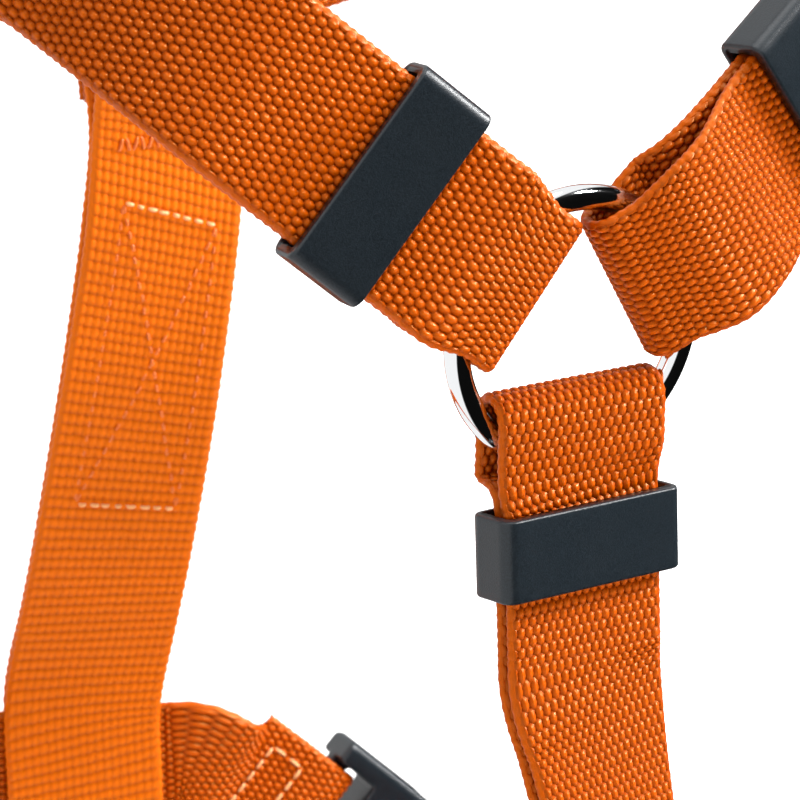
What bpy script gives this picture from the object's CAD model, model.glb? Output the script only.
import math

import bmesh
import bpy
import numpy as np
from mathutils import Matrix, Vector


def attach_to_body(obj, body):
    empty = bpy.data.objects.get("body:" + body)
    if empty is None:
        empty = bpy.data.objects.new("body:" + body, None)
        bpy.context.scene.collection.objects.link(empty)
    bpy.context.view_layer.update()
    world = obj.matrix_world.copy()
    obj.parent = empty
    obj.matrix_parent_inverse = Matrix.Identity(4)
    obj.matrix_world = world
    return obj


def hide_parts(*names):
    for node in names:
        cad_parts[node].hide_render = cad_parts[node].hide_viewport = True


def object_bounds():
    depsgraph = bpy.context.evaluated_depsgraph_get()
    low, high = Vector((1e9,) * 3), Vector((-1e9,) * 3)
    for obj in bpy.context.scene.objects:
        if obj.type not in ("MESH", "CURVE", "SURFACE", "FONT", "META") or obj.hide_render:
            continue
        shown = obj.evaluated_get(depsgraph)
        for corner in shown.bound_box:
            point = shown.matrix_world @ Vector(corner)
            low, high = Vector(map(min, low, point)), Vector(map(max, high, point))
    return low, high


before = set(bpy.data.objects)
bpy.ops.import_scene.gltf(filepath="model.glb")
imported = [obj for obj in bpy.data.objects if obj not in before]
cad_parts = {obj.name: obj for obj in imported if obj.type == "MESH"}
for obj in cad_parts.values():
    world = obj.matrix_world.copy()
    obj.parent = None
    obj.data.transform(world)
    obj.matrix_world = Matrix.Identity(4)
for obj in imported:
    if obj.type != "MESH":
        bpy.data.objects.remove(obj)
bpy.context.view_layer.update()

MM = 0.001
# the frame's origin, measured from the chest ring centre
ORIGIN = np.array((-13.700593, 0, -6.682226))

# ------------------------------------------------------------------ strap tables
# Each strap is a list of stretches that share one outward normal:
#   (normal x y z), (centre x y z), (centre x y z), ...
# A fourth number in a centre is the strap's width there, where it isn't the full width.
NECK_LEFT = [
    ((-0.69399, -0.71233, 0.10468), (-52.844, 31.787, 50.408), (-58.108, 37.689, 55.672),
     (-61.986, 42.038, 59.551), (-63.704, 43.964, 61.268)),
    ((-0.32397, -0.92753, -0.18639), (-64.481, 44.416, 61.88)),
    ((0.13286, -0.89419, -0.42752), (-65.44, 44.346, 62.386)),
    ((0.55409, -0.62126, -0.55409), (-66.325, 43.773, 62.652)),
    ((0.82686, -0.18186, -0.5322), (-66.898, 42.85, 62.606)),
    ((0.87806, 0.30627, -0.3677), (-67.005, 41.825, 62.26)),
    ((0.69399, 0.71233, -0.10468), (-66.619, 40.972, 61.708), (-64.901, 39.046, 59.99),
     (-59.914, 33.455, 55.004), (-57.975, 31.28, 53.064)),
    ((0.47709, 0.87297, -0.10151), (-51.03, 20.36, 45.9)),
    ((0.17978, 0.9703, -0.16188), (-40.469, 7.9, 34.877), (-37.584, 6.932, 32.28),
     (-28.931, 4.029, 24.489), (-20.279, 1.126, 16.698), (-18.115, 0.4, 14.75)),
    ((0, 1, 0), (-14.557, 2.85, 11.579, 24.4), (-12.522, 2.75, 9.96, 23.4),
     (-10.33, 2.75, 8.217, 22), (-8.609, 2.75, 6.848, 22)),
    ((0.3913, 0.86603, -0.31126), (-7.533, 2.382, 5.992, 22)),
    ((0.67776, 0.5, -0.53911), (-6.745, 1.375, 5.365, 22)),
    ((0.78261, 0, -0.62251), (-6.457, 0, 5.136, 22)),
    ((0.67776, -0.5, -0.53911), (-6.745, -1.375, 5.365, 22)),
    ((0.3913, -0.86603, -0.31126), (-7.533, -2.382, 5.992, 22)),
    ((0, -1, 0), (-8.609, -2.75, 6.848, 22), (-10.33, -2.75, 8.217, 22),
     (-12.522, -2.75, 9.96, 23.4)),
    ((-0.17978, -0.9703, 0.16188), (-14.852, -2.653, 11.812), (-18.475, -1.54, 15.074),
     (-20.638, -0.815, 17.022), (-29.291, 2.088, 24.813), (-37.944, 4.992, 32.604),
     (-40.828, 5.959, 35.201)),
    ((-0.47709, -0.87297, 0.10151), (-51.97, 18.64, 46.1)),
    ((-0.69399, -0.71233, 0.10468), (-59.363, 29.856, 53.274), (-60.748, 31.409, 54.659),
     (-67.674, 39.175, 61.585), (-74.877, 47.251, 68.788), (-76.263, 48.804, 70.173)),
    ((-0.95154, -0.20686, 0.22754), (-85.5, 67, 79)),
    ((-0.89927, 0.34745, 0.26569), (-83.5, 84, 78)),
    ((-0.60066, 0.76636, 0.22784), (-70, 100, 67)),
    ((-0.26388, 0.95403, 0.14209), (-47, 110.5, 48)),
    ((-0.05982, 0.99696, 0.04985), (-28, 113.9, 33.5)),
    ((0, 1, 0), (-17, 114, 27), (-13, 114, 25.8), (0, 114, 24.6), (16.5, 114, 24.2)),
]
NECK_RIGHT = [
    ((0.91353, -0.38719, 0.12467), (66.393, 30.764, 43.073), (69.451, 39.081, 46.497),
     (71.704, 45.21, 49.021), (72.702, 47.924, 50.138)),
    ((0.63021, -0.77305, -0.07228), (73.297, 48.734, 50.552)),
    ((0.17802, -0.95178, -0.24986), (74.246, 49.109, 50.925)),
    ((-0.32186, -0.87547, -0.36049), (75.296, 48.949, 51.157)),
    ((-0.73551, -0.56459, -0.37453), (76.165, 48.296, 51.187)),
    ((-0.95207, -0.10242, -0.28821), (76.62, 47.326, 51.005)),
    ((-0.91353, 0.38719, -0.12467), (76.539, 46.297, 50.662), (75.541, 43.583, 49.544),
     (72.161, 34.391, 45.759), (69.586, 27.387, 42.875)),
    ((-0.17237, 0.97815, -0.11626), (56.899, 9.602, 36.182), (53.655, 8.77, 33.994),
     (40.68, 5.444, 25.243), (30.949, 2.949, 18.679), (27.706, 2.117, 16.491),
     (21.063, 1.334, 12.011)),
    ((0, 1, 0), (16.346, 2.85, 8.875, 24.4), (14.061, 2.75, 7.635, 23.4),
     (11.6, 2.75, 6.298, 22), (9.667, 2.75, 5.249, 22)),
    ((-0.43941, 0.86603, -0.23858), (8.459, 2.382, 4.593, 22)),
    ((-0.76108, 0.5, -0.41323), (7.574, 1.375, 4.112, 22)),
    ((-0.87882, 0, -0.47716), (7.25, 0, 3.937, 22)),
    ((-0.76108, -0.5, -0.41323), (7.574, -1.375, 4.112, 22)),
    ((-0.43941, -0.86603, -0.23858), (8.459, -2.382, 4.593, 22)),
    ((0, -1, 0), (9.667, -2.75, 5.249, 22), (11.6, -3.3, 6.298, 22),
     (14.061, -4.07, 7.635, 23.4)),
    ((0.17237, -0.97815, 0.11626), (17.482, -4.798, 9.595), (22.822, -3.838, 13.197),
     (28.171, -0.524, 16.805), (30.889, 0.888, 18.638), (32.916, 1.408, 20.005),
     (41.025, 3.487, 25.475), (54, 6.814, 34.227), (57.244, 7.646, 36.415)),
    ((0.91353, -0.38719, 0.12467), (71.414, 26.613, 43.125), (73.988, 33.617, 46.009),
     (78.173, 44.998, 50.695), (82.357, 56.379, 55.381), (83.323, 59.005, 56.463)),
    ((0.98728, 0.10178, 0.12214), (86.5, 76, 62)),
    ((0.81438, 0.55989, 0.1527), (79.5, 91, 58)),
    ((0.48674, 0.86193, 0.14197), (61, 105, 44)),
    ((0.20128, 0.97622, 0.08051), (42, 113.6, 30)),
    ((0.02, 0.9998, 0), (24, 116.1, 24.6)),
    ((0, 1, 0), (16, 116.15, 24.1), (13, 116.15, 24.1), (0, 116.15, 24.4),
     (-14, 116.15, 25.8), (-15.5, 116.15, 26)),
]
CHEST = [
    ((0, 1, 0), (0, 2.85, -18.6, 24.7), (0, 2.75, -16, 24.7), (0, 2.75, -13.2, 24.7),
     (0, 2.75, -10.35, 24.7)),
    ((0, 0.86603, 0.5), (0, 2.382, -8.975, 24.7)),
    ((0, 0.5, 0.86603), (0, 1.375, -7.968, 24.7)),
    ((0, 0, 1), (0, 0, -7.6, 24.7)),
    ((0, -0.5, 0.86603), (0, -1.375, -7.968, 24.7)),
    ((0, -0.86603, 0.5), (0, -2.382, -8.975, 24.7)),
    ((0, -1, 0), (0, -2.75, -10.35, 24.7), (0, -2.75, -13.2, 24.7), (0, -2.75, -16, 24.7)),
    ((0.03997, -0.9992, 0), (0, -2.55, -18.6, 24.8)),
    ((0.12997, -0.98486, 0.11468), (0.114, -2.743, -22.259), (-0.008, -3.175, -25.831),
     (-0.314, -4.255, -34.76), (-0.518, -4.975, -40.713), (-0.62, -5.335, -43.69)),
    ((0.25074, -0.96284, 0.1003), (0.501, -6.563, -52.9)),
    ((0.33079, -0.93724, 0.11026), (1.331, -8.737, -62.39)),
    ((0.37985, -0.91963, 0.09996), (2.58, -11.92, -75.9)),
    ((0.3607, -0.93182, 0.04008), (3.961, -15.532, -92.96)),
    ((0.27075, -0.96265, 0), (4.633, -17.94, -108)),
    ((0.17007, -0.98543, 0), (2.625, -18.964, -119), (1.942, -19.062, -128),
     (1.942, -19.062, -148.6)),
    ((0.14729, -0.85341, -0.5), (1.883, -18.719, -149.9)),
    ((0.08504, -0.49272, -0.86603), (1.721, -17.781, -150.852)),
    ((0, 0, -1), (1.5, -16.5, -151.2)),
    ((-0.08504, 0.49272, -0.86603), (1.279, -15.219, -150.852)),
    ((-0.14729, 0.85341, -0.5), (1.117, -14.281, -149.9)),
    ((-0.17007, 0.98543, 0), (1.058, -13.938, -148.6), (1.058, -13.938, -128),
     (1.775, -14.036, -119)),
    ((-0.27075, 0.96265, 0), (3.767, -14.86, -108)),
    ((-0.3607, 0.93182, -0.04008), (3.239, -13.668, -93.04)),
    ((-0.37985, 0.91963, -0.09996), (1.82, -10.08, -76.1)),
    ((-0.33079, 0.93724, -0.11026), (0.669, -6.863, -62.61)),
    ((-0.25074, 0.96284, -0.1003), (-0.001, -4.637, -53.1)),
    ((-0.12997, 0.98486, -0.11468), (-0.88, -3.366, -43.919), (-0.778, -3.006, -40.943),
     (-0.574, -2.286, -34.99), (-0.268, -1.205, -26.06), (-0.146, -0.773, -22.488)),
]
BACK = [
    ((0, 1, 0), (0, 118.4, 38.5), (0, 118.4, 24), (0.3, 118.4, 10.6)),
    ((0.01999, 0.9996, 0.01999), (0.638, 117.199, 5.538)),
    ((0.03025, 0.99827, 0.05042), (0.78, 116.498, 1.05)),
    ((0.10099, 0.98975, 0.10099), (0.201, 118.19, -17.899)),
    ((0.17136, 0.97776, 0.12096), (-0.729, 120.378, -31.879)),
    ((0.24194, 0.96272, 0.12097), (-2.058, 122.363, -45.879)),
    ((0.30918, 0.93752, 0.15958), (-3.591, 125.338, -61.84)),
    ((0.33657, 0.92061, 0.19798), (-4.963, 128.721, -76.802)),
    ((0.3585, 0.91616, 0.17925), (-5.706, 132.208, -87.803)),
    ((0.37902, 0.91762, 0.11969), (-5.98, 135.643, -95.773)),
    ((0.37992, 0.9248, 0.02), (-5.974, 137.797, -101.546)),
    ((0.38, 0.92499, 0), (-5.974, 137.897, -115), (-5.974, 137.897, -129.2)),
    ((0.32909, 0.80106, -0.5), (-6.111, 137.563, -130.55)),
    ((0.19, 0.46249, -0.86603), (-6.487, 136.649, -131.538)),
    ((0, 0, -1), (-7, 135.4, -131.9)),
    ((-0.19, -0.46249, -0.86603), (-7.513, 134.151, -131.538)),
    ((-0.32909, -0.80106, -0.5), (-7.889, 133.237, -130.55)),
    ((-0.38, -0.92499, 0), (-8.026, 132.903, -129.2), (-8.026, 132.903, -115)),
    ((-0.37992, -0.9248, -0.02), (-8.026, 132.803, -101.654)),
    ((-0.37902, -0.91762, -0.11969), (-7.42, 132.157, -96.227)),
    ((-0.3585, -0.91616, -0.17925), (-6.494, 130.192, -88.197)),
    ((-0.33657, -0.92061, -0.19798), (-5.637, 126.879, -77.198)),
    ((-0.30918, -0.93752, -0.15958), (-4.209, 123.462, -62.16)),
    ((-0.24194, -0.96272, -0.12097), (-2.542, 120.437, -46.121)),
    ((-0.17136, -0.97776, -0.12096), (-1.071, 118.422, -32.121)),
    ((-0.10099, -0.98975, -0.10099), (-0.001, 116.21, -18.101)),
    ((-0.03025, -0.99827, -0.05042), (0.72, 114.502, 0.95)),
    ((-0.01999, -0.9996, -0.01999), (0.562, 113.401, 5.462)),
    ((0, -1, 0), (0.3, 111.8, 10.6), (0, 111.8, 24), (0, 111.8, 38.5)),
    ((0, -0.86603, 0.5), (0, 112.242, 40.15)),
    ((0, -0.5, 0.86603), (0, 113.45, 41.358)),
    ((0, 0, 1), (0, 115.1, 41.8)),
    ((0, 0.5, 0.86603), (0, 116.75, 41.358)),
    ((0, 0.86603, 0.5), (0, 117.958, 40.15)),
]
GIRTH = [
    ((0.99876, -0.0374, -0.03299), (98.1, 54.599, -172.592), (97.809, 45.266, -170.842),
     (97.594, 38.389, -169.553), (97.499, 35.344, -168.981)),
    ((0.8803, 0.45882, -0.12067), (97.747, 34.302, -168.797)),
    ((0.52597, 0.83209, -0.17602), (98.491, 33.518, -168.681)),
    ((0.0307, 0.98241, -0.1842), (99.532, 33.202, -168.664)),
    ((-0.47279, 0.86949, -0.14303), (100.589, 33.439, -168.75)),
    ((-0.8496, 0.52359, -0.06353), (101.38, 34.166, -168.917)),
    ((-0.99876, 0.0374, 0.03299), (101.693, 35.187, -169.12), (101.789, 38.232, -169.691),
     (102.08, 47.565, -171.441), (102.633, 65.248, -174.757), (102.971, 76.055, -176.783)),
    ((-0.6816, -0.73172, 0), (87.114, 103.549, -176.5)),
    ((-0.15162, -0.97971, 0.13107), (64.726, 113.39, -165.931), (61.104, 113.606, -162.399)),
    ((-0.4814, -0.74843, 0.45619), (59.983, 114.393, -161.293)),
    ((-0.68219, -0.3166, 0.65908), (59.3, 115.861, -160.604)),
    ((-0.70018, 0.20005, 0.68536), (59.239, 117.617, -160.514)),
    ((-0.53057, 0.66311, 0.52801), (59.816, 119.192, -161.049)),
    ((-0.21879, 0.94848, 0.22917), (60.876, 120.162, -162.065)),
    ((0.15162, 0.97971, -0.13107), (62.135, 120.268, -163.29), (65.515, 118.484, -166.612)),
    ((0.6816, 0.73172, 0), (88.886, 105.451, -176.5)),
    ((0.99876, -0.0374, -0.03299), (104.968, 75.98, -176.849), (104.63, 65.174, -174.823),
     (104.078, 47.49, -171.507), (103.709, 35.701, -169.297), (103.28, 21.948, -166.718),
     (103.095, 16.053, -165.612)),
    ((0.72199, -0.69191, 0), (89, -8, -158.5)),
    ((0.18065, -0.98355, 0), (58, -18, -149)),
    ((-0.1005, -0.99494, 0), (32, -15.6, -140.5)),
    ((0.17007, -0.98543, 0), (17.267, -13.779, -137), (14.311, -14.289, -137),
     (1.5, -16.5, -137), (-11.311, -18.711, -137), (-14.267, -19.221, -137)),
    ((-0.1005, -0.99494, 0), (-38, -22, -136.5)),
    ((-0.62224, -0.78282, 0), (-68, -9, -134)),
    ((-0.92426, -0.38176, 0), (-92, 25, -129)),
    ((-0.99875, 0.04994, 0), (-99, 65, -122)),
    ((-0.86451, 0.50262, 0), (-88, 107, -116)),
    ((-0.45915, 0.88836, 0), (-64, 135, -112.5)),
    ((0.0995, 0.99504, 0), (-41, 145, -112)),
    ((0.38, 0.92499, 0), (-22.725, 141.86, -115.5), (-19.487, 140.53, -115.5),
     (-7, 135.4, -115.5), (5.487, 130.27, -115.5), (7.8, 129.32, -115.5)),
    ((0.2822, 0.95745, -0.06047), (14.2, 128.2, -119.6)),
    ((0.15162, 0.97971, -0.13107), (22.289, 131.141, -124.296), (24.465, 131.031, -126.418),
     (26.706, 130.391, -128.611)),
    ((0.4814, 0.74843, -0.45619), (27.827, 129.605, -129.716)),
    ((0.68219, 0.3166, -0.65908), (28.51, 128.136, -130.406)),
    ((0.70018, -0.20005, -0.68536), (28.571, 126.38, -130.495)),
    ((0.53057, -0.66311, -0.52801), (27.994, 124.805, -129.96)),
    ((0.21879, -0.94848, -0.22917), (26.934, 123.835, -128.944)),
    ((-0.15162, -0.97971, 0.13107), (25.675, 123.729, -127.719), (23.434, 124.369, -125.526),
     (21.166, 126.245, -123.285), (18.562, 128.319, -120.714)),
    ((-0.22443, -0.96914, 0.10201), (15.928, 130.197, -118.116)),
]
DEE_TAB = [
    ((-0.02995, -0.9983, -0.04992), (0.5, 121.9, 2)),
    ((-0.01, -0.99995, 0), (0.3, 122.7, 11)),
    ((0, -0.95358, 0.30113), (0.1, 123.4, 18.5)),
    ((0, -0.9798, 0.19996), (0, 126, 24.5)),
    ((0, -1, 0), (0, 126.65, 29)),
    ((0, -0.86603, -0.5), (0, 126.241, 30.525)),
    ((0, -0.5, -0.86603), (0, 125.125, 31.641)),
    ((0, 0, -1), (0, 123.6, 32.05)),
    ((0, 0.5, -0.86603), (0, 122.075, 31.641)),
    ((0, 0.86603, -0.5), (0, 120.959, 30.525)),
    ((0, 1, 0), (0, 120.55, 29), (0, 120.6, 25), (0.1, 120.7, 18)),
    ((0.01, 0.99995, 0), (0.3, 120.8, 11)),
    ((0.02995, 0.9983, 0.04992), (0.5, 120.2, 2)),
]
# straight runs that carry hardware: origin, direction along the strap, outward normal
RUNS = {
    "neck_left": ((-14.69, -1.78, 11.666), (-0.7210702, 0.2419219, 0.6492546),
                  (-0.179783, -0.9702957, 0.1618773)),
    "neck_right": ((16.525, -1.772, 8.95), (0.8109211, 0.2079117, 0.5469732),
                   (0.1723666, -0.9781476, 0.1162627)),
    "chest": ((0.1, -1.35, -19), (-0.0340065, -0.1200228, -0.9921885),
              (0.1299671, -0.9848637, 0.1146822)),
    "neck_left_slider": ((-59.5, 31.5, 54), (-0.5540939, 0.6212568, 0.5540939),
                         (-0.6939921, -0.7123317, 0.1046829)),
    "neck_right_slider": ((70.5, 27, 43), (0.3218647, 0.875472, 0.3604885),
                          (0.9135322, -0.3871911, 0.1246676)),
    "buckle": ((25, 127.4, -127), (0.7001825, -0.2000521, -0.6853638),
               (0.1516184, 0.9797101, -0.1310728)),
    "girth": ((104, 77, -177), (-0.0307003, -0.9824089, 0.1842017),
              (0.998756, -0.0373959, -0.0329853)),
}

# ------------------------------------------------------------------ view
CAMERA_RIGHT = np.array((0.8695, -0.4939, 0.0))
CAMERA_UP = np.array((0.1657, 0.2917, 0.9421))
CAMERA_BACK = np.array((-0.4653, -0.8191, 0.3355))
# camera place from the ring centre, along its own axes
CAMERA_X, CAMERA_Y, CAMERA_DISTANCE = -21.633166, -9.208543, 500.0
SENSOR, LENS = 36.0, 179.1
VIEW_MARGIN = 1.15              # the fine weave reaches this far past the picture's half width


def toward(right, up, back):
    """a direction given along the camera's axes"""
    return right * CAMERA_RIGHT + up * CAMERA_UP + back * CAMERA_BACK


def in_view(points):
    depth = CAMERA_DISTANCE - points @ CAMERA_BACK
    reach = VIEW_MARGIN * SENSOR / 2 / LENS
    across = points @ CAMERA_RIGHT / depth - CAMERA_X / CAMERA_DISTANCE
    upward = points @ CAMERA_UP / depth - CAMERA_Y / CAMERA_DISTANCE
    return (np.abs(across) < reach) & (np.abs(upward) < reach)


# ------------------------------------------------------------------ mesh helpers
def add_object(name, data):
    obj = bpy.data.objects.new(name, data)
    bpy.context.scene.collection.objects.link(obj)
    return obj


def add_mesh(name, points, quads, material, uv_maps=(), attributes=()):
    mesh = bpy.data.meshes.new(name)
    count = len(quads)
    mesh.vertices.add(len(points))
    mesh.vertices.foreach_set("co", ((points - ORIGIN) * MM).astype(np.float32).ravel())
    mesh.loops.add(count * 4)
    mesh.loops.foreach_set("vertex_index", quads.astype(np.int32).ravel())
    mesh.polygons.add(count)
    mesh.polygons.foreach_set("loop_start", np.arange(0, count * 4, 4, dtype=np.int32))
    mesh.update(calc_edges=True)
    mesh.polygons.foreach_set("use_smooth", np.full(count, True))
    for layer, values in uv_maps:
        data = mesh.uv_layers.new(name=layer).data
        data.foreach_set("uv", np.asarray(values, np.float32).ravel())
    for layer, values in attributes:
        data = mesh.attributes.new(layer, "FLOAT", "POINT").data
        data.foreach_set("value", np.asarray(values, np.float32).ravel())
    mesh.update()
    mesh.materials.append(material)
    return add_object(name, mesh)


def attach(obj, body, node):
    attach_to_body(obj, body)
    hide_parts(node)


def attach_hard(obj, body, node):
    """attach a piece of hardware, with its faces turned outward"""
    bm = bmesh.new()
    bm.from_mesh(obj.data)
    bmesh.ops.recalc_face_normals(bm, faces=bm.faces)
    bm.to_mesh(obj.data)
    bm.free()
    attach(obj, body, node)


def grid(sheet, close_rows=False, close_columns=False):
    """points and quads of a (rows, columns, 3) sheet of points"""
    rows, columns = sheet.shape[:2]
    i, j = np.meshgrid(np.arange(rows if close_rows else rows - 1),
                       np.arange(columns if close_columns else columns - 1), indexing="ij")
    i2, j2 = (i + 1) % rows, (j + 1) % columns
    corners = (i * columns + j, i * columns + j2, i2 * columns + j2, i2 * columns + j)
    return sheet.reshape(-1, 3), np.stack(corners, -1).reshape(-1, 4)


def merge(parts):
    points, quads, offset = [], [], 0
    for part_points, part_quads in parts:
        points.append(part_points)
        quads.append(part_quads + offset)
        offset += len(part_points)
    return np.concatenate(points), np.concatenate(quads)


def unit(vectors):
    return vectors / np.linalg.norm(vectors, axis=1)[:, None]


# ------------------------------------------------------------------ strap centre lines
def dense(rows, closed, step=0.12):
    """rows joined by a smooth cubic, sampled about every step mm"""
    rows = np.array(rows, float)
    count = len(rows)

    def index(i):
        return i % count if closed else min(max(i, 0), count - 1)

    def gap(i):
        return np.linalg.norm(rows[index(i + 1), :3] - rows[index(i), :3])

    def tangent(i):
        if not closed and i == 0:
            return (rows[1] - rows[0]) / gap(0)
        if not closed and i == count - 1:
            return (rows[-1] - rows[-2]) / gap(count - 2)
        before, after = gap(i - 1), gap(i)
        arriving = (rows[index(i)] - rows[index(i - 1)]) / before * after
        leaving = (rows[index(i + 1)] - rows[index(i)]) / after * before
        return (arriving + leaving) / (before + after)

    out = []
    for i in range(count if closed else count - 1):
        length = gap(i)
        steps = max(2, int(math.ceil(length / step)))
        t = (np.arange(steps) / steps)[:, None]
        out.append((2 * t**3 - 3 * t**2 + 1) * rows[index(i)]
                   + (t**3 - 2 * t**2 + t) * length * tangent(index(i))
                   + (-2 * t**3 + 3 * t**2) * rows[index(i + 1)]
                   + (t**3 - t**2) * length * tangent(index(i + 1)))
    out = np.concatenate(out)
    return out if closed else np.concatenate([out, rows[-1:]])


class Strap:
    """a strap's smooth centre line, looked up by station (mm along it)"""

    def __init__(self, stretches, closed=False, width=25.0):
        rows = [(*centre[:3], *normal, *(centre[3:] or (width,)))
                for normal, *centres in stretches for centre in centres]
        line = dense(rows, closed)
        if closed:
            line = np.concatenate([line, line[:1]])
        points = line[:, :3]
        gaps = np.linalg.norm(np.diff(points, axis=0), axis=1)
        self.closed, self.width, self.line = closed, width, line
        self.stations = np.concatenate([[0], np.cumsum(gaps)])
        self.length = self.stations[-1]
        if closed:
            tangents = np.roll(points[:-1], -1, 0) - np.roll(points[:-1], 1, 0)
            tangents = np.concatenate([tangents, tangents[:1]])
        else:
            tangents = np.gradient(points, axis=0)
        self.tangents = unit(tangents)

    def at(self, station):
        """centre, tangent, normal, sideways direction and width at each station"""
        s = np.asarray(station, float)
        s = np.mod(s, self.length) if self.closed else np.clip(s, 0, self.length)

        def sample(columns):
            return np.stack([np.interp(s, self.stations, c) for c in columns.T], -1)

        centre = sample(self.line[:, :3])
        normal = sample(self.line[:, 3:6])
        tangent = sample(self.tangents)
        tangent /= np.linalg.norm(tangent, axis=-1, keepdims=True)
        normal = normal - (normal * tangent).sum(-1, keepdims=True) * tangent
        normal /= np.linalg.norm(normal, axis=-1, keepdims=True)
        width = np.interp(s, self.stations, self.line[:, 6])
        return centre, tangent, normal, np.cross(tangent, normal), width


# ------------------------------------------------------------------ webbing
FLOAT_PITCH = 1.26              # across the strap, before fitting a whole number of floats
EDGE = 0.5                      # radius of the rounded edge
EDGE_POINTS = 4
SELVEDGE = 0.16                 # the flat woven edge stands this much above the valleys


def hash01(a, b):
    x = np.sin(a * 127.1 + b * 311.7) * 43758.5453
    return x - np.floor(x)


def weave(u, s, pitch, row, stagger, phase=0.0):
    """height 0..1 of the warp floats at across u, along s (mm), and a number for each float"""
    s = s + phase
    first = np.floor(s / row)
    best, ident = np.zeros_like(u), np.zeros_like(u)
    for dj in (-1, 0, 1, 2):
        j = first + dj
        shift = np.mod(j, 2) * 0.5 * stagger
        i = np.round(u / pitch - shift)
        du = u - (i + shift) * pitch
        ds = s - j * row
        q = (np.abs(du) / (0.53 * pitch)) ** 2.1 + (np.abs(ds) / (0.66 * row)) ** 2.1
        height = np.sqrt(np.clip(1 - q, 0, 1))
        ident = np.where(height > best, hash01(i, j), ident)
        best = np.maximum(best, height)
    return best, ident


def end_caps(across, rings, ring_size):
    """quads that close both cut ends of an open strap"""
    back = across + 1 + EDGE_POINTS
    k = np.arange(across)
    faces = np.stack([k, back + (across - k), back + (across - k - 1), k + 1], -1)
    edges = ([*range(across, back + 1)], [*range(back + across, ring_size), 0])
    edge_quads = [[e[0], e[1], e[4], e[5]] for e in edges]
    edge_quads += [[e[1], e[2], e[3], e[4]] for e in edges]
    cap = np.concatenate([faces, np.array(edge_quads)])
    return np.concatenate([cap, (cap + (rings - 1) * ring_size)[:, ::-1]])


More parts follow.
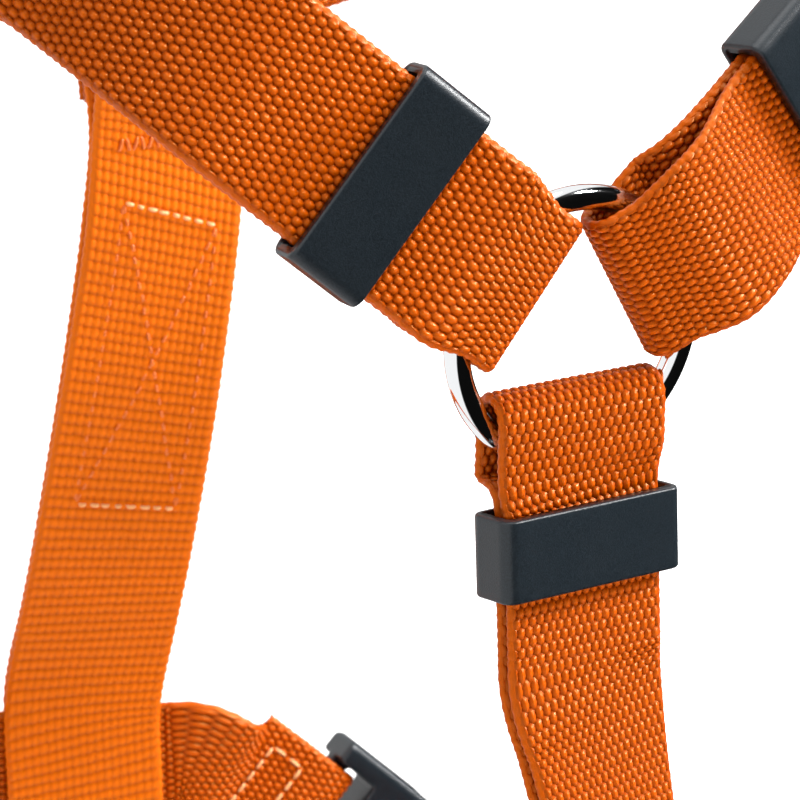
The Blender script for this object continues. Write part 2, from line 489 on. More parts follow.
def webbing(name, node, strap, material, row_pitch=1.35, stagger=1.0, base=0.38, relief=0.46,
            skew=None):
    """woven strap: base is half its thickness in the valleys, relief the height of the floats,
    skew(centre, normal) how far the weave slips along per mm across"""
    row = strap.length / max(2, 2 * round(strap.length / row_pitch / 2))
    flat = strap.width / 2 - EDGE
    floats_across = round(2 * flat / FLOAT_PITCH)
    pitch = 2 * flat / floats_across
    across = floats_across * 4

    # four rings of points to a float where the camera sees the strap, two elsewhere
    middles = np.arange(int(round(strap.length / row))) + 0.5
    near = np.convolve(in_view(strap.at(middles * row)[0]), np.ones(7), "same") > 0
    parts = [i + np.arange(k) / k for i, k in enumerate(np.where(near, 4, 2))]
    s = np.concatenate(parts + [[len(middles)]]) * row
    if strap.closed:
        s = s[:-1]
    rings = len(s)
    centre, tangent, normal, sideways, width = strap.at(s)

    # cross-section: normal face, rounded edge, opposite face, rounded edge
    line = np.linspace(-1, 1, across + 1) * flat
    arc = np.radians(90 - 180 * np.arange(1, EDGE_POINTS + 1) / (EDGE_POINTS + 1))
    u = np.concatenate([line, flat + EDGE * np.cos(arc), line[::-1], -flat - EDGE * np.cos(arc)])
    face, none, edge = np.ones(across + 1), np.zeros(across + 1), np.zeros(EDGE_POINTS)
    side = np.concatenate([face, edge, -face, edge])
    bulge = np.concatenate([none, np.sin(arc), none, -np.sin(arc)])
    ring_size = len(u)

    uu, ss = np.meshgrid(u, s)
    slip = np.zeros_like(uu) if skew is None else skew(centre, normal)[:, None] * uu
    height1, ident1 = weave(uu, ss + slip, pitch, row, stagger)
    height2, ident2 = weave(uu, ss, pitch, row, stagger, 0.5 * row)
    rim = np.clip((strap.width / 2 - 0.25 - np.abs(uu)) / 0.75, 0, 1)
    rim = rim * rim * (3 - 2 * rim)
    height = np.where(side > 0, height1, np.where(side < 0, height2, 0.0)) * rim
    ident = np.where(side > 0, ident1, ident2)
    lift = np.where(side != 0, side * (base + relief * height + (1 - rim) * SELVEDGE),
                    bulge * (base + SELVEDGE))
    loops = 0.09 * np.cos(2 * np.pi * ss / row) * np.clip((np.abs(uu) - flat) / EDGE, 0, 1)
    lateral = (uu + np.sign(uu) * loops) * (width / strap.width)[:, None]
    sheet = centre[:, None] + lateral[..., None] * sideways[:, None]
    sheet = sheet + lift[..., None] * normal[:, None]
    _, quads = grid(sheet, strap.closed, True)

    # OFBake: the unrolled strap cut into strips laid side by side
    gaps = np.abs(np.diff(np.append(u, u[0])))
    around = np.concatenate([[0], np.cumsum(gaps + 0.12)])
    spans = rings if strap.closed else rings - 1
    i, j = np.repeat(np.arange(spans), ring_size), np.tile(np.arange(ring_size), spans)
    along = np.append(s, strap.length)
    strips = max(1, round(math.sqrt(strap.length / (around[-1] + 2))))
    strip = strap.length / strips
    which = np.clip(np.floor((along[i] + along[i + 1]) / 2 / strip), 0, strips - 1)

    def bake_uv(jj, ii):
        part = np.clip((along[ii] - which * strip) / strip, -0.01, 1.01)
        return np.stack([(which + 0.015 + 0.97 * around[jj] / around[-1]) / strips,
                         0.012 + 0.976 * part], -1)

    # WEB: counted in weave cells, with the opposite face half a float on
    u_wrapped = np.append(u, u[0])
    slip_wrapped = np.pad(slip, ((0, 1), (0, 1)), mode="wrap")
    shift = np.append(np.where(side < 0, 0.5 * row, 0.0), 0.0)

    def cell_uv(jj, ii):
        moved = along[ii] + np.where(shift[jj] > 0, shift[jj], slip_wrapped[ii, jj])
        return np.stack([u_wrapped[jj] / pitch, moved / row], -1)

    corners = ((j, i), (j + 1, i), (j + 1, i + 1), (j, i + 1))
    bake = np.stack([bake_uv(*corner) for corner in corners], 1)
    web = np.stack([cell_uv(*corner) for corner in corners], 1)

    if not strap.closed:
        caps = end_caps(across, rings, ring_size)
        # the cuts are a little uneven
        rough = 0.10 * np.sin(u * 3.1)[:, None] + 0.08 * np.sin(u * 7.7 + 1)[:, None]
        sheet[0] -= tangent[0] * rough
        sheet[-1] += tangent[-1] * rough
        cap_uv = np.array([[0.002, 0.002], [0.004, 0.002], [0.004, 0.004], [0.002, 0.004]])
        quads = np.concatenate([quads, caps])
        bake = np.concatenate([bake, np.tile(cap_uv, (len(caps), 1, 1))])
        web = np.concatenate([web, np.zeros((len(caps), 4, 2))])
    obj = add_mesh(name, sheet.reshape(-1, 3), quads, material, [("WEB", web), ("OFBake", bake)],
                   [("wv", height), ("fid", ident), ("rim", rim)])
    attach(obj, "harness", node)


# ------------------------------------------------------------------ stitches
STITCH_TAPER = np.array([0.35, 0.8, 1, 1, 1, 1, 1, 0.8, 0.35])


def stitches(name, node, strap, face, lines, material, pitch=2.6, fill=0.78, radius=0.27,
             top=0.80, jitter=0.0):
    """one thread tube per stitch, on the normal side (face 1) or the other (face -1);
    lines hold start station, start across, end station, end across"""
    parts, rng = [], np.random.default_rng(7)
    rings, sides = len(STITCH_TAPER), 8
    angle = np.arange(sides) * math.pi / 4
    cap = np.array([[0, 1, 2, 3], [0, 3, 4, 7], [7, 4, 5, 6]])
    lift = top + 0.06 - 0.62 * np.abs(np.linspace(-1, 1, rings)) ** 4
    for s0, x0, s1, x1 in lines:
        count = max(1, round(math.hypot(s1 - s0, x1 - x0) / pitch))
        for k in range(count):
            t = np.linspace((k + 0.5 - fill / 2) / count, (k + 0.5 + fill / 2) / count, rings)
            drift = jitter * (rng.random(2) - 0.5)
            across = x0 + (x1 - x0) * t + np.linspace(drift[0], drift[1], rings)
            centre, _, normal, sideways, _ = strap.at(s0 + (s1 - s0) * t)
            path = centre + across[:, None] * sideways + (face * lift)[:, None] * normal
            tangent = unit(np.gradient(path, axis=0))
            out = unit(face * normal - (face * normal * tangent).sum(1)[:, None] * tangent)
            beside = np.cross(tangent, out)
            spokes = (np.cos(angle)[None, :, None] * beside[:, None]
                      + np.sin(angle)[None, :, None] * out[:, None])
            tube = path[:, None] + (radius * STITCH_TAPER)[:, None, None] * spokes
            points, quads = grid(tube, False, True)
            last = (rings - 1) * sides
            parts.append((points, np.concatenate([quads[:, ::-1], cap, (cap + last)[:, ::-1]])))
    obj = add_mesh(name, *merge(parts), material)
    attach(obj, "harness", node)


def box_lines(s0, s1, half):
    return [(s0, -half, s0, half), (s1, -half, s1, half), (s0, -half, s1, -half),
            (s0, half, s1, half)]


# ------------------------------------------------------------------ moulded hardware
def place(points, run, station):
    """local x across, y outward and z along the strap, moved onto a run"""
    origin, along, normal = (np.array(q, float) for q in RUNS[run])
    across = np.cross(normal, along)
    return (origin + points[:, :1] * across + points[:, 1:2] * normal
            + (points[:, 2:3] + station) * along)


def rounded_rectangle(width, height, radius, segments=10, flat=12):
    """points and outward normals, with each straight side cut into flat pieces"""
    points, normals = [], []
    x, y = width / 2 - radius, height / 2 - radius
    # corner centre, start angle, direction and length of the side that follows
    for cx, cy, start, dx, dy, length in (
            (x, y, 0, -1, 0, width - 2 * radius), (-x, y, 90, 0, -1, height - 2 * radius),
            (-x, -y, 180, 1, 0, width - 2 * radius), (x, -y, 270, 0, 1, height - 2 * radius)):
        for i in range(segments + 1):
            a = math.radians(start + 90 * i / segments)
            points.append((cx + radius * math.cos(a), cy + radius * math.sin(a)))
            normals.append((math.cos(a), math.sin(a)))
        px, py = points[-1]
        for i in range(1, flat):
            points.append((px + dx * length * i / flat, py + dy * length * i / flat))
            normals.append(normals[-1])
    return np.array(points), np.array(normals)


KEEPER_LENGTH = 10.8
KEEPER_ROUND = 0.42             # outer rim radius
KEEPER_MOUTH = 0.22             # flare at the mouth of the opening


def keeper(where, body, station):
    outer, outer_normals = rounded_rectangle(width=28.8, height=7.9, radius=1.9)
    inner, inner_normals = rounded_rectangle(width=26.0, height=4.8, radius=0.6)
    half = KEEPER_LENGTH / 2
    wall = [(outer, k * (half - KEEPER_ROUND)) for k in np.linspace(-1, 1, 9)]
    end = []
    for i in range(1, 6):
        a = math.radians(90 * i / 6)
        end.append((outer - outer_normals * KEEPER_ROUND * (1 - math.cos(a)),
                    half - KEEPER_ROUND + KEEPER_ROUND * math.sin(a)))
    end.append((inner, half))
    for i in range(1, 6):
        a = math.radians(90 * i / 5)
        end.append((inner + inner_normals * KEEPER_MOUTH * (1 - math.sin(a)),
                    half - KEEPER_MOUTH * (1 - math.cos(a))))
    bore = half - KEEPER_MOUTH - 0.3
    rings = wall + end + [(inner, bore), (inner, 0.0), (inner, -bore)]
    rings += [(points, -z) for points, z in reversed(end)]
    sheet = np.stack([np.column_stack([points, np.full(len(points), z)]) for points, z in rings])
    points, quads = grid(sheet, True, True)
    obj = add_mesh("moulded_keeper_" + where, place(points, where, station), quads, PLASTIC)
    attach_hard(obj, body, "keeper_" + where)


def surface_nets(field, low, high, step):
    """smooth closed surface of field(x, y, z) < 0 on a grid"""
    axes = [np.arange(low[c], high[c] + step, step) for c in range(3)]
    values = field(*np.meshgrid(*axes, indexing="ij"))
    inside = values < 0
    size = np.array(values.shape)
    cells = tuple(size - 1)
    total = np.zeros(cells + (3,))
    crossings = np.zeros(cells)
    base = np.stack(np.meshgrid(*[np.arange(m) for m in cells], indexing="ij"), -1).astype(float)

    def shifted(offset):
        return values[tuple(slice(q, q + m) for q, m in zip(offset, cells))]

    # each cell's point is the mean of the crossings on its twelve edges
    for d in range(3):
        e = [c for c in range(3) if c != d]
        for a in (0, 1):
            for b in (0, 1):
                start = [0, 0, 0]
                start[e[0]], start[e[1]] = a, b
                stop = list(start)
                stop[d] = 1
                v0, v1 = shifted(start), shifted(stop)
                cross = (v0 < 0) != (v1 < 0)
                point = np.zeros(cells + (3,))
                point[..., e[0]], point[..., e[1]] = a, b
                point[..., d] = np.where(cross, v0 / np.where(cross, v0 - v1, 1), 0)
                total += point * cross[..., None]
                crossings += cross
    used = crossings > 0
    number = np.full(cells, -1, int)
    number[used] = np.arange(used.sum())
    points = (base[used] + total[used] / crossings[used][:, None]) * step + np.array(low)

    # one quad round every grid edge that crosses the surface
    quads = []
    for d in range(3):
        e = [c for c in range(3) if c != d]
        core = [slice(1, -1)] * 3
        core[d] = slice(0, size[d] - 1)
        following = list(core)
        following[d] = slice(1, size[d])
        here, there = inside[tuple(core)], inside[tuple(following)]
        for leaving, flip in ((here & ~there, False), (~here & there, True)):
            cell = np.argwhere(leaving)
            for c in e:
                cell[:, c] += 1
            ring = []
            for a, b in ((1, 1), (0, 1), (0, 0), (1, 0)):
                q = cell.copy()
                q[:, e[0]] -= a
                q[:, e[1]] -= b
                ring.append(number[q[:, 0], q[:, 1], q[:, 2]])
            ring = np.stack(ring, -1)
            quads.append(ring[:, ::-1] if flip ^ (d == 1) else ring)
    quads = np.concatenate(quads)
    return points, quads[(quads >= 0).all(1)]


def box_field(X, Y, Z, x0, x1, y0, y1, z0, z1, radius):
    """signed distance to a box with rounded edges"""
    qx = np.abs(X - (x0 + x1) / 2) - (x1 - x0) / 2 + radius
    qy = np.abs(Y - (y0 + y1) / 2) - (y1 - y0) / 2 + radius
    qz = np.abs(Z - (z0 + z1) / 2) - (z1 - z0) / 2 + radius
    out = np.sqrt(np.maximum(qx, 0) ** 2 + np.maximum(qy, 0) ** 2 + np.maximum(qz, 0) ** 2)
    return out + np.minimum(np.maximum(qx, np.maximum(qy, qz)), 0) - radius


def smooth_max(a, b, blend):
    h = np.clip(0.5 - 0.5 * (b - a) / blend, 0, 1)
    return b * (1 - h) + a * h + blend * h * (1 - h)


def smooth_min(a, b, blend):
    return -smooth_max(-a, -b, blend)


def slider_field(X, Y, Z):
    """two arched side rails, a raised bar across each end and a low bar across the middle"""
    length, end, drop, thick, rail, inside = 24.0, 3.8, 3.1, 2.0, 2.4, 26.6
    half_width = inside / 2 + rail
    end_y = 1.0 + 1.2                                # under the end bars: strap and clearance
    span = length / 2 - end
    rise = end_y + thick + drop - 1.0
    u = np.minimum(1, np.abs(Z) / span)
    top = -drop + 1.0 + rise * (0.5 - 0.5 * np.cos(np.pi * u))
    slope = np.abs(rise * 0.5 * np.pi * np.sin(np.pi * u) / span)
    band = np.maximum(Y - top, top - thick - Y) / np.sqrt(1 + slope**2)
    outer = box_field(X, Y, Z, -half_width, half_width, -9, 9, -length / 2, length / 2, 2.2)
    rails = smooth_max(smooth_max(band, outer, 0.8), inside / 2 - np.abs(X), 0.8)
    low_end, high_end = (
        smooth_max(box_field(X, Y, Z, -half_width, half_width, end_y, end_y + thick,
                             z0, z0 + end, 0.75), outer, 0.8)
        for z0 in (-length / 2, span))
    bar = box_field(X, Y, Z, -half_width + 0.4, half_width - 0.4, -drop - 0.95, -drop + 0.95,
                    -3.3, 1.0, 0.8)
    return smooth_min(smooth_min(rails, np.minimum(low_end, high_end), 0.5), bar, 0.5)


BUCKLE_HALF_WIDTH, BUCKLE_HALF_THICK = 17.5, 4.7
BUCKLE_LENGTH = 54.0
BUCKLE_BAR = 3.4                # bar at each end, outside the strap slot
SOCKET_LENGTH = 33.0
PLUG_START = SOCKET_LENGTH + 0.4
SLOT_LENGTH = 4.6
SLOT_HALF_WIDTH = 13.3
# y ranges of the hollows that let the strap pass over and under a bar
RECESSES = ((-9, -1.5), (1.5, 9))


def shell_field(X, Y, Z, z0, z1):
    sides = (-BUCKLE_HALF_WIDTH, BUCKLE_HALF_WIDTH, -BUCKLE_HALF_THICK, BUCKLE_HALF_THICK)
    body = box_field(X, Y, Z, *sides, z0, z1, 1.1)
    corners = box_field(X, Y, Z, *sides, z0 - 9, z1 + 9, 2.4)
    return smooth_max(body, corners, 0.5)


def cut(field, X, Y, Z, *box, blend=0.7):
    """take a box (x, y and z ranges, edge radius) out of a field"""
    return smooth_max(field, -box_field(X, Y, Z, *box), blend)


def socket_field(X, Y, Z):
    slot = (-SLOT_HALF_WIDTH, SLOT_HALF_WIDTH)
    window = BUCKLE_HALF_WIDTH + 3
    d = shell_field(X, Y, Z, 0, SOCKET_LENGTH)
    d = cut(d, X, Y, Z, *slot, -9, 9, BUCKLE_BAR, BUCKLE_BAR + SLOT_LENGTH, 0.6)
    d = cut(d, X, Y, Z, -14.6, 14.6, -2.9, 2.9, 12.4, SOCKET_LENGTH + 3, 0.5, blend=0.4)
    d = cut(d, X, Y, Z, -window, window, -2.9, 2.9, 15.0, 25.0, 1.2)
    for y0, y1 in RECESSES:
        d = cut(d, X, Y, Z, *slot, y0, y1, -3, BUCKLE_BAR + 1, 0.4)
    return d


def plug_field(X, Y, Z):
    slot = (-SLOT_HALF_WIDTH, SLOT_HALF_WIDTH)
    bar = BUCKLE_LENGTH - BUCKLE_BAR
    d = shell_field(X, Y, Z, PLUG_START, BUCKLE_LENGTH)
    d = cut(d, X, Y, Z, *slot, -9, 9, bar - SLOT_LENGTH, bar, 0.6)
    for y0, y1 in RECESSES:
        d = cut(d, X, Y, Z, *slot, y0, y1, bar - 1, BUCKLE_LENGTH + 3, 0.4)
    tongue = box_field(X, Y, Z, -3.2, 3.2, -2.2, 2.2, 15.5, PLUG_START + 1, 0.8)
    d = smooth_min(d, tongue, 0.3)
    for side in (-1, 1):
        x = side * 10.4
        pocket = box_field(X, Y, Z, x - 3.0, x + 3.0, -2.7, 2.7, PLUG_START - 3,
                           PLUG_START + 3.2, 0.3)
        d = np.maximum(d, -pocket)
    return d


# outline of the +x prong, x and z
PRONG = np.array([
    [9.0, 36.0], [9.0, 24.5], [10.6, 15.8], [15.2, 15.8], [16.9, 18.0], [17.1, 23.6],
    [14.2, 24.4], [12.0, 25.2], [11.7, 36.0],
])


def prong_field(side):
    outline = PRONG * [side, 1]

    def field(X, Y, Z):
        d = np.full(X.shape, 1e9)
        inside = np.zeros(X.shape, bool)
        for a, b in zip(outline, np.roll(outline, -1, 0)):
            e = b - a
            wx, wz = X - a[0], Z - a[1]
            t = np.clip((wx * e[0] + wz * e[1]) / (e @ e), 0, 1)
            d = np.minimum(d, np.hypot(wx - t * e[0], wz - t * e[1]))
            spans = (a[1] > Z) != (b[1] > Z)
            inside ^= spans & (X < e[0] * (Z - a[1]) / (e[1] + 1e-12) + a[0])
        return smooth_max(np.where(inside, -d, d), np.abs(Y) - 2.3, 0.9)

    return field


def moulded(node, body, run, station, field, low, high, step):
    points, quads = surface_nets(field, low, high, step)
    name = "moulded_" + node.replace("buckle_prong", "prong")
    obj = add_mesh(name, place(points, run, station), quads, PLASTIC)
    attach_hard(obj, body, node)


# ------------------------------------------------------------------ wire hardware
def wire(name, node, body, line, radius, segments, rotation=np.eye(3), centre=(0, 0, 0)):
    """round wire along a closed line in the XZ plane, then turned and moved"""
    tangent = unit(np.roll(line, -1, 0) - np.roll(line, 1, 0))
    y = np.array([0.0, 1.0, 0.0])
    normal = unit(np.cross(y, tangent))
    angle = np.arange(segments) * 2 * math.pi / segments
    spokes = np.cos(angle)[None, :, None] * normal[:, None] + np.sin(angle)[None, :, None] * y
    points, quads = grid(line[:, None] + radius * spokes, True, True)
    obj = add_mesh(name, points @ rotation.T + np.array(centre), quads, STEEL)
    attach_hard(obj, body, node)


def chest_ring():
    a = np.arange(220) * 2 * math.pi / 220
    line = 16.85 * np.stack([np.cos(a), 0 * a, np.sin(a)], -1)
    wire("wire_chest_ring", "chest_ring", "ring", line, radius=1.65, segments=40)


def leash_dee():
    bow, corner = 14.6, 2.4
    leg = 24.0 - bow
    bar = bow - corner              # half the straight bar

    def arc(x, z, radius, start, end, count):
        return [(x + radius * math.cos(q), z + radius * math.sin(q))
                for q in np.radians(np.linspace(start, end, count))]

    line = arc(bar, corner, corner, -90, 0, 14)
    line += [(bow, z) for z in np.linspace(corner, leg, 8)[1:-1]]
    line += arc(0, leg, bow, 0, 180, 90)
    line += [(-bow, z) for z in np.linspace(leg, corner, 8)[1:-1]]
    line += arc(-bar, corner, corner, 180, 270, 14)
    line += [(x, 0) for x in np.linspace(-bar, bar, 40)[1:-1]]
    tilt = math.radians(-28)
    rotation = np.array([[1, 0, 0], [0, math.cos(tilt), -math.sin(tilt)],
                         [0, math.sin(tilt), math.cos(tilt)]])
    wire("wire_leash_dee", "leash_dee", "dee", np.array([(x, 0, z) for x, z in line]),
         radius=1.9, segments=28, rotation=rotation, centre=(0, 123.6, 29))


# ------------------------------------------------------------------ shader helpers
def new_material(name):
    material = bpy.data.materials.new(name)
    material.use_nodes = True
    tree = material.node_tree
    return material, tree, tree.nodes["Principled BSDF"]


def set_inputs(node, values):
    for key, value in values.items():
        node.inputs[key].default_value = value


def rgba(color):
    return (*color, 1)


def math_node(tree, operation, *values):
    node = tree.nodes.new("ShaderNodeMath")
    node.operation = operation
    for socket, value in zip(node.inputs, values):
        if isinstance(value, (int, float)):
            socket.default_value = value
        else:
            tree.links.new(value, socket)
    return node.outputs[0]


def noise(tree, vector, scale, detail=2.0):
    node = tree.nodes.new("ShaderNodeTexNoise")
    set_inputs(node, {"Scale": scale, "Detail": detail})
    if vector is not None:
        tree.links.new(vector, node.inputs[0])
    return node


def color_ramp(tree, value, *stops):
    """stops are (position, linear colour) in rising order"""
    node = tree.nodes.new("ShaderNodeValToRGB")
    elements = node.color_ramp.elements
    for element, (position, color) in ((elements[0], stops[0]), (elements[1], stops[-1])):
        element.position = position
        element.color = rgba(color)
    for position, color in stops[1:-1]:
        elements.new(position).color = rgba(color)
    tree.links.new(value, node.inputs[0])
    return node.outputs[0]


def add_bump(tree, shader, height, strength, distance):
    """distance in mm"""
    node = tree.nodes.new("ShaderNodeBump")
    set_inputs(node, {"Strength": strength, "Distance": distance * MM})
    tree.links.new(height, node.inputs["Height"])
    tree.links.new(node.outputs[0], shader.inputs["Normal"])


# ------------------------------------------------------------------ materials
def float_heights(tree, x, y, x_shift, y_shift, y_period, half_x, half_y, profile):
    """height 0..1 of one set of floats, period 1 across and y_period along"""
    def distance(cell):
        return math_node(tree, "ABSOLUTE", math_node(
            tree, "SUBTRACT", math_node(tree, "FRACT", cell), 0.5))

    def term(value, scale):
        return math_node(tree, "POWER", math_node(tree, "MULTIPLY", value, scale), 2.1)

    dx = distance(math_node(tree, "ADD", x, 0.5 - x_shift))
    dy = distance(math_node(tree, "MULTIPLY_ADD", y, 1 / y_period, 0.5 - y_shift / y_period))
    qx = term(dx, 1 / half_x)
    qy = term(dy, y_period / half_y)
    rest = math_node(tree, "SUBTRACT", math_node(tree, "SUBTRACT", 1.0, qx), qy)
    return math_node(tree, "POWER", math_node(tree, "MAXIMUM", rest, 0.0), profile)


def webbing_material(name, valley, middle, crest, roughness, staggered, half_x, half_y, depth,
                     profile):
    """valley, middle, crest: colours by height; half_x, half_y: half a float's size in cells;
    depth: relief in mm; profile: power that shapes a float's rounding"""
    valley, middle, crest = (np.array(color) for color in (valley, middle, crest))
    material, tree, shader = new_material(name)
    new, link = tree.nodes.new, tree.links.new
    rim = new("ShaderNodeAttribute")
    rim.attribute_name = "rim"
    uv = new("ShaderNodeUVMap")
    uv.uv_map = "WEB"

    # the yarns wander a little
    wander = noise(tree, uv.outputs[0], scale=0.9, detail=1.0)
    offset = new("ShaderNodeVectorMath")
    offset.operation = "MULTIPLY_ADD"
    link(wander.outputs["Color"], offset.inputs[0])
    offset.inputs[1].default_value = (0.22, 0.22, 0)
    offset.inputs[2].default_value = (-0.11, -0.11, 0)
    position = new("ShaderNodeVectorMath")
    position.operation = "ADD"
    link(offset.outputs[0], position.inputs[0])
    link(uv.outputs[0], position.inputs[1])
    split = new("ShaderNodeSeparateXYZ")
    link(position.outputs[0], split.inputs[0])

    def heights(x_shift, y_shift, y_period):
        return float_heights(tree, split.outputs[0], split.outputs[1], x_shift, y_shift,
                             y_period, half_x, half_y, profile)

    if staggered:
        height = math_node(tree, "MAXIMUM", heights(0.0, 0.0, 2.0), heights(0.5, 1.0, 2.0))
    else:
        height = heights(0.0, 0.0, 1.0)
    height = math_node(tree, "MULTIPLY", height, rim.outputs["Fac"])
    color = color_ramp(tree, height, (0.0, valley), (0.22, 0.45 * middle + 0.55 * valley),
                       (0.62, middle), (1.0, crest))

    # filaments run along the strap inside each float
    stretch = new("ShaderNodeMapping")
    stretch.inputs["Scale"].default_value = (9, 1.1, 1)
    link(position.outputs[0], stretch.inputs[0])
    filament = noise(tree, stretch.outputs[0], scale=1.3).outputs[0]
    patches = noise(tree, uv.outputs[0], scale=0.12, detail=1.0).outputs[0]
    tone = new("ShaderNodeHueSaturation")
    value = math_node(tree, "MULTIPLY_ADD", filament, 0.30, 0.80)
    value = math_node(tree, "MULTIPLY_ADD", patches, 0.10, value)
    link(value, tone.inputs["Value"])
    edge_mix = new("ShaderNodeMix")
    edge_mix.data_type = "RGBA"
    edge_mix.inputs["A"].default_value = rgba(0.5 * middle + 0.5 * crest)
    link(rim.outputs["Fac"], edge_mix.inputs["Factor"])
    link(color, edge_mix.inputs["B"])
    link(edge_mix.outputs["Result"], tone.inputs["Color"])
    link(tone.outputs[0], shader.inputs["Base Color"])
    link(math_node(tree, "MULTIPLY_ADD", filament, 0.25, roughness), shader.inputs["Roughness"])
    set_inputs(shader, {"Specular IOR Level": 0.50, "Specular Tint": (1.0, 0.66, 0.18, 1)})
    relief = math_node(tree, "MULTIPLY_ADD", filament, 0.10, height)
    add_bump(tree, shader, relief, strength=1.0, distance=depth)
    return material


def plastic_material():
    material, tree, shader = new_material("grained_plastic")
    coordinates = tree.nodes.new("ShaderNodeTexCoord").outputs["Object"]
    grain = noise(tree, coordinates, scale=5200).outputs[0]
    smears = noise(tree, coordinates, scale=90, detail=3.0).outputs[0]
    color = color_ramp(tree, grain, (0.30, (0.0045, 0.0080, 0.0115)),
                       (0.75, (0.014, 0.022, 0.029)))
    tree.links.new(color, shader.inputs["Base Color"])
    roughness = math_node(tree, "MULTIPLY_ADD", smears, 0.14, 0.27)
    tree.links.new(roughness, shader.inputs["Roughness"])
    set_inputs(shader, {"Specular IOR Level": 0.5})
    add_bump(tree, shader, grain, strength=0.75, distance=0.04)
    return material


def steel_material():
    material, tree, shader = new_material("polished_steel")
    set_inputs(shader, {"Metallic": 1.0, "Base Color": (0.86, 0.87, 0.88, 1)})
    coordinates = tree.nodes.new("ShaderNodeTexCoord").outputs["Object"]
    smears = noise(tree, coordinates, scale=260, detail=3.0).outputs[0]
    roughness = math_node(tree, "MULTIPLY_ADD", smears, 0.07, 0.03)
    tree.links.new(roughness, shader.inputs["Roughness"])
    add_bump(tree, shader, smears, strength=0.06, distance=0.05)
    return material


def thread_material(name, dark, pale):
    material, tree, shader = new_material(name)
    coordinates = tree.nodes.new("ShaderNodeTexCoord").outputs["Object"]
    fibres = noise(tree, coordinates, scale=2600).outputs[0]
    color = color_ramp(tree, fibres, (0.0, dark), (1.0, pale))
    tree.links.new(color, shader.inputs["Base Color"])
    set_inputs(shader, {"Roughness": 0.38, "Sheen Weight": 0.2})
    add_bump(tree, shader, fibres, strength=0.4, distance=0.05)
    return material


def floor_material():
    material, tree, shader = new_material("pale_floor")
    set_inputs(shader, {"Roughness": 0.85, "Emission Color": (1, 1, 1, 1)})
    # used wherever the ramp's link is ignored
    set_inputs(shader, {"Base Color": (0.93, 0.93, 0.925, 1)})
    mottle = noise(tree, None, scale=14).outputs[0]
    color = color_ramp(tree, mottle, (0.0, (0.92, 0.92, 0.915)), (1.0, (0.95, 0.95, 0.945)))
    tree.links.new(color, shader.inputs["Base Color"])
    # lifts the floor toward white for the camera alone
    camera_ray = tree.nodes.new("ShaderNodeLightPath").outputs["Is Camera Ray"]
    glow = math_node(tree, "MULTIPLY", camera_ray, 0.46)
    tree.links.new(glow, shader.inputs["Emission Strength"])
    return material


WEBBING = webbing_material(
    "orange_webbing", valley=(0.27, 0.026, 0.0), middle=(0.50, 0.067, 0.0),
    crest=(0.62, 0.094, 0.0), roughness=0.21, staggered=True, half_x=0.54, half_y=0.66,
    depth=0.50, profile=0.75)
FLAT_WEBBING = webbing_material(
    "orange_webbing_flat_weave", valley=(0.54, 0.072, 0.0), middle=(0.73, 0.124, 0.0),
    crest=(0.90, 0.176, 0.001), roughness=0.30, staggered=False, half_x=0.86, half_y=0.56,
    depth=0.26, profile=0.65)
PLASTIC = plastic_material()
STEEL = steel_material()
THREAD = thread_material("sewing_thread", dark=(0.90, 0.34, 0.07), pale=(1.0, 0.62, 0.30))
SUNK_THREAD = thread_material("sewing_thread_sunk", dark=(0.74, 0.13, 0.004),
                              pale=(0.92, 0.24, 0.03))

# ------------------------------------------------------------------ straps
neck_left, neck_right, girth = Strap(NECK_LEFT), Strap(NECK_RIGHT), Strap(GIRTH)
chest, back = Strap(CHEST, closed=True), Strap(BACK, closed=True)
dee_tab = Strap(DEE_TAB, width=22.0)


def back_slip(z):
    """the weft of the back strap is pulled askew near its top: mm along per mm across"""
    return np.clip(0.30 + (z + 14) * 0.0065, -0.18, 0.34)


def back_skew(centre, normal):
    return np.where(normal[:, 1] > 0, -1, 1) * back_slip(centre[:, 2])


webbing("webbing_neck_left", "strap_neck_left", neck_left, WEBBING)
webbing("webbing_neck_right", "strap_neck_right", neck_right, WEBBING)
webbing("webbing_chest", "strap_chest", chest, WEBBING)
webbing("webbing_back", "strap_back", back, FLAT_WEBBING, row_pitch=1.76, stagger=0.0,
        base=0.40, relief=0.25, skew=back_skew)
webbing("webbing_girth", "strap_girth", girth, WEBBING)
webbing("webbing_dee_tab", "dee_tab", dee_tab, WEBBING, base=0.36, relief=0.28)


# ------------------------------------------------------------------ seams
def back_station(z):
    """station at height z on the back strap's low-Y layer"""
    s = np.linspace(0.55 * back.length, 0.95 * back.length, 4000)
    return s[np.argmin(np.abs(back.at(s)[0][:, 2] - z))]


def back_corner(z, across):
    """a seam corner that follows the slip of the weave"""
    return back_station(z) - float(back_slip(z)) * across, across


BOX_TOP, BOX_BOTTOM = -15.5, -64.6
top_left, top_right = back_corner(BOX_TOP, -7.1), back_corner(BOX_TOP, 8.4)
bottom_left, bottom_right = back_corner(BOX_BOTTOM, -7.5), back_corner(BOX_BOTTOM, 8.5)

# zigzag tack above the box
TACK_HALF_WIDTH, TACK_HALF_HEIGHT, TACK_COUNT = 8.4, 1.3, 14
tack_station = back_station(-4.0)
tack = []
for i in range(TACK_COUNT):
    rise = TACK_HALF_HEIGHT if i % 2 else -TACK_HALF_HEIGHT
    start, end = (-TACK_HALF_WIDTH + 2 * TACK_HALF_WIDTH * k / TACK_COUNT for k in (i, i + 0.6))
    tack.append((tack_station + rise, start, tack_station - rise, end))

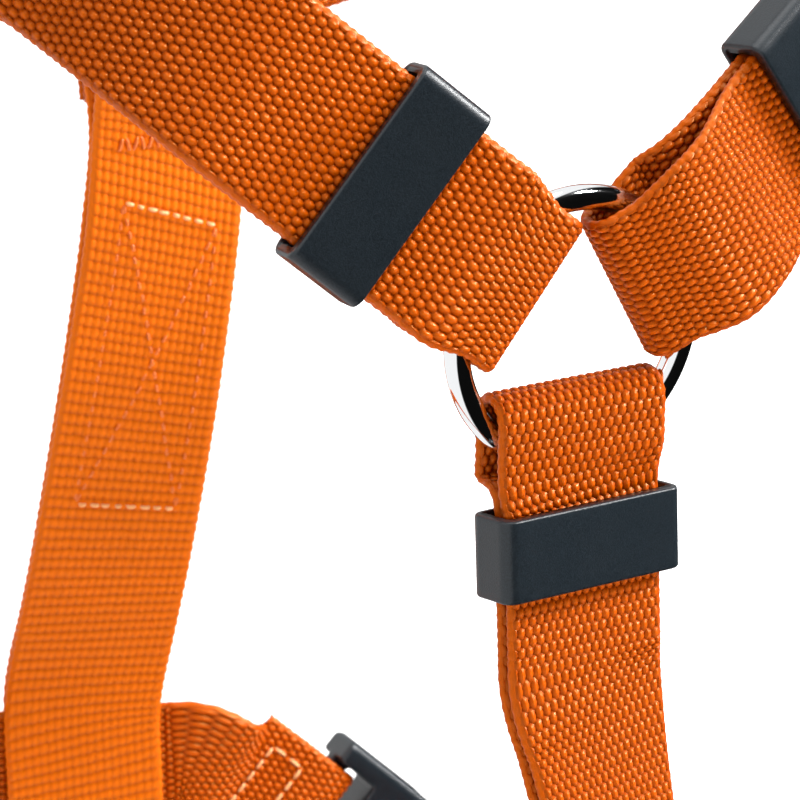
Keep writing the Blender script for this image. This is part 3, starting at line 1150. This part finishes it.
stitches("seam_back_box", "stitch_back_box", back, 1,
         [top_left + top_right, bottom_left + bottom_right], THREAD,
         pitch=1.9, fill=0.58, radius=0.30, top=0.80, jitter=0.6)
stitches("seam_back_cross", "stitch_back_box", back, 1,
         [bottom_left + top_right, bottom_right + top_left], SUNK_THREAD,
         pitch=2.3, fill=0.60, radius=0.22, top=0.62, jitter=0.3)
stitches("seam_back_sides", "stitch_back_box", back, 1,
         [bottom_left + top_left, bottom_right + top_right], SUNK_THREAD,
         pitch=2.6, fill=0.5, radius=0.2, top=0.56)
stitches("seam_back_tack", "stitch_back_tack", back, 1, tack, SUNK_THREAD,
         pitch=9, fill=0.92, radius=0.24, top=0.70)

# boxes at strap ends: place, strap, face, first and last station, half width, stitch height
for where, strap, face, start, end, half, top in (
        ("neck_left", neck_left, -1, 2.5, 13.5, 9, 0.80),
        ("neck_right", neck_right, -1, 2.5, 13.5, 9, 0.80),
        ("girth_tail", girth, -1, 2.5, 13.5, 9, 0.80),
        ("girth_end", girth, 1, girth.length - 9.5, girth.length - 3.5, 8.5, 0.80),
        ("dee_tab", dee_tab, -1, 1.6, 9, 8.5, 0.62)):
    stitches("seam_" + where, "stitch_" + where, strap, face, box_lines(start, end, half),
             THREAD, top=top)

# ------------------------------------------------------------------ hardware
keeper("neck_left", "keeper_neck_l", station=15.8)
keeper("neck_right", "keeper_neck_r", station=26.5)
keeper("chest", "keeper_chest_b", station=9.0)
keeper("girth", "keeper_girth_b", station=16.0)
# node, body, run, station, field, low and high corners of its grid, grid step
for piece in (
        ("slider_neck_left", "slider_neck_l", "neck_left_slider", 13.5,
         slider_field, (-16.6, -5.2, -13), (16.6, 5.4, 13), 0.36),
        ("slider_neck_right", "slider_neck_r", "neck_right_slider", 21.0,
         slider_field, (-16.6, -5.2, -13), (16.6, 5.4, 13), 0.36),
        ("slider_girth", "slider_girth_b", "girth", 42.0,
         slider_field, (-16.6, -5.2, -13), (16.6, 5.4, 13), 0.36),
        ("buckle_socket", "harness", "buckle", 0,
         socket_field, (-18.4, -5.6, -1), (18.4, 5.6, 34.2), 0.4),
        ("buckle_plug", "harness", "buckle", 0,
         plug_field, (-18.4, -5.6, 14.6), (18.4, 5.6, 55), 0.4),
        ("buckle_prong_left", "prong_l", "buckle", 0,
         prong_field(-1), (-18.2, -3, 15), (-8.2, 3, 37), 0.3),
        ("buckle_prong_right", "prong_r", "buckle", 0,
         prong_field(1), (8.2, -3, 15), (18.2, 3, 37), 0.3)):
    moulded(*piece)
chest_ring()
leash_dee()


# ------------------------------------------------------------------ stage, light, camera
def build_floor():
    """8 m square, 1.2 mm under the lowest point"""
    mesh = bpy.data.meshes.new("floor")
    ticks = np.linspace(-4, 4, 9)
    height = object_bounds()[0][2] - 0.0012
    sheet = np.stack(np.meshgrid(ticks, ticks, [height], indexing="ij"), -1)[:, :, 0]
    points, quads = grid(sheet)
    mesh.from_pydata(points.tolist(), [], quads[:, ::-1].tolist())
    floor = add_object("floor", mesh)
    floor.visible_glossy = False
    mesh.materials.append(floor_material())


def build_world():
    """white all round, with two dark lobes that only reflections see"""
    world = bpy.data.worlds.new("studio")
    bpy.context.scene.world = world
    world.use_nodes = True
    tree = world.node_tree
    tree.nodes.clear()
    new, link = tree.nodes.new, tree.links.new
    output = new("ShaderNodeOutputWorld")
    plain = new("ShaderNodeBackground")
    reflected = new("ShaderNodeBackground")
    path = new("ShaderNodeLightPath")
    mix = new("ShaderNodeMixShader")
    coordinates = new("ShaderNodeTexCoord")
    ray = new("ShaderNodeVectorMath")
    ray.operation = "NORMALIZE"
    link(coordinates.outputs["Generated"], ray.inputs[0])

    def dark_lobe(direction, start, full):
        """fades from 1 to nearly 0 as the ray's cosine to direction goes from start to full"""
        cosine = new("ShaderNodeVectorMath")
        cosine.operation = "DOT_PRODUCT"
        link(ray.outputs[0], cosine.inputs[0])
        cosine.inputs[1].default_value = tuple(direction / np.linalg.norm(direction))
        fade = new("ShaderNodeMapRange")
        fade.interpolation_type = "SMOOTHSTEP"
        set_inputs(fade, {"From Min": start, "From Max": full, "To Min": 1.0, "To Max": 0.004})
        link(cosine.outputs["Value"], fade.inputs["Value"])
        return fade.outputs[0]

    side = dark_lobe(toward(0.85, -0.30, -0.05), start=0.10, full=0.22)
    behind = dark_lobe(-CAMERA_BACK, start=0.86, full=0.93)
    lobes = math_node(tree, "MULTIPLY", side, behind)
    link(math_node(tree, "MULTIPLY", lobes, 1.05), reflected.inputs[1])
    for background in (plain, reflected):
        background.inputs[0].default_value = (1, 1, 1, 1)
    # brighter to the camera than as a light
    strength = new("ShaderNodeMapRange")
    set_inputs(strength, {"To Min": 0.50, "To Max": 1.05})
    link(path.outputs["Is Camera Ray"], strength.inputs["Value"])
    link(strength.outputs[0], plain.inputs[1])
    link(path.outputs["Is Glossy Ray"], mix.inputs[0])
    link(plain.outputs[0], mix.inputs[1])
    link(reflected.outputs[0], mix.inputs[2])
    link(mix.outputs[0], output.inputs[0])


LIGHT_TARGET = np.array((0, 0.05, -0.03))       # metres from the ring centre


def disk_light(name, direction, distance, size, power):
    """distance and size in metres, power in watts"""
    direction = direction / np.linalg.norm(direction)
    light = bpy.data.lights.new(name, "AREA")
    light.shape = "DISK"
    light.size = size
    light.energy = power
    obj = bpy.data.objects.new(name, light)
    obj.location = Vector(tuple(LIGHT_TARGET + direction * distance - ORIGIN * MM))
    obj.rotation_mode = "QUATERNION"
    obj.rotation_quaternion = Vector(tuple(direction)).to_track_quat("Z", "Y")
    bpy.context.scene.collection.objects.link(obj)
    return obj


def build_camera():
    camera = bpy.data.cameras.new("camera")
    camera.sensor_width = SENSOR
    camera.lens = LENS
    obj = add_object("camera", camera)
    position = (toward(CAMERA_X, CAMERA_Y, CAMERA_DISTANCE) - ORIGIN) * MM
    axes = np.column_stack([CAMERA_RIGHT, CAMERA_UP, CAMERA_BACK, position])
    obj.matrix_world = Matrix((*axes.tolist(), (0, 0, 0, 1)))
    camera.clip_start = 0.02
    camera.clip_end = 20
    focus = add_object("focus", None)
    focus.location = tuple(-ORIGIN * MM)
    camera.dof.use_dof = True
    camera.dof.focus_object = focus
    camera.dof.aperture_fstop = 100.0
    bpy.context.scene.camera = obj


build_floor()
build_world()
disk_light("key", toward(0.85, 0.85, 0.42), distance=1.1, size=0.20, power=9.5)
disk_light("edge", toward(0.90, 0.55, -0.10), distance=1.1, size=0.22, power=14)
low_light = disk_light("low", toward(0.80, -0.45, 0.70), distance=1.0, size=0.7, power=3.0)
low_light.visible_glossy = False
disk_light("top", np.array((0.0, 0.1, 1.0)), distance=1.4, size=1.0, power=7)
disk_light("fill", toward(-0.7, 0.5, 0.7), distance=1.3, size=0.8, power=1.5)
build_camera()
bpy.context.scene.view_settings.view_transform = "Standard"
